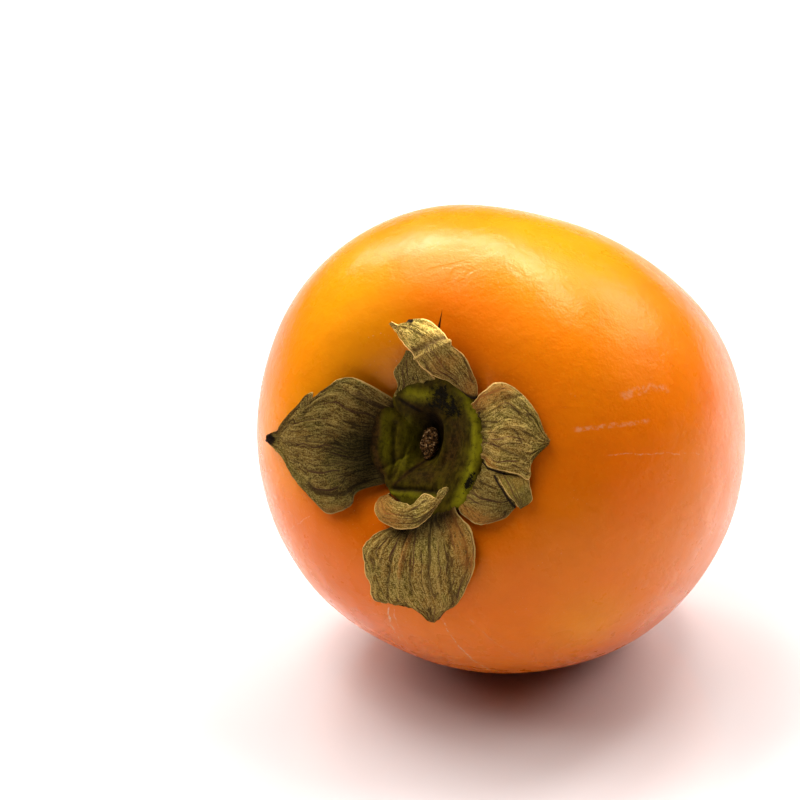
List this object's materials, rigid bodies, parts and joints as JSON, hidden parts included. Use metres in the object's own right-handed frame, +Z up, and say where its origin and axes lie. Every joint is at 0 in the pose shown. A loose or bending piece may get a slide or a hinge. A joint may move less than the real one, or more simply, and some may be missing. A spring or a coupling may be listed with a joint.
{
  "type": "persimmon",
  "caption": "Whole ripe persimmon lying on its side, with a dried leafy calyx, a stem scar and a small flat spot to rest on.",
  "frame": {"origin": "centre of the small flat spot that the fruit rests on", "axes": "+Z up; the fruit's own axis lies in the YZ plane, with the calyx end towards -Y and tipped 22.7 degrees upward, and the blossom end low towards +Y; +X to the right when looking at the calyx"},
  "size_m": [0.0828, 0.0906, 0.0817],
  "materials": {
    "skin": "smooth waxy fruit skin, yellow-orange to deep orange, satin gloss",
    "calyx_disc": "matte, olive green drying to brown, with black specks",
    "sepal": "matte, dry and papery, olive to khaki brown with fine veins",
    "stem_scar": "matte, rough and fibrous",
    "style_tip": "matte, dry and dark"
  },
  "bodies": {
    "root": {"fruit": "skin", "calyx_disc": "calyx_disc", "sepal_left": "sepal", "sepal_top": "sepal", "sepal_right": "sepal", "sepal_bottom": "sepal", "sepal_small": "sepal", "stem_scar": "stem_scar", "style_tip": "style_tip"}
  },
  "joints": []
}
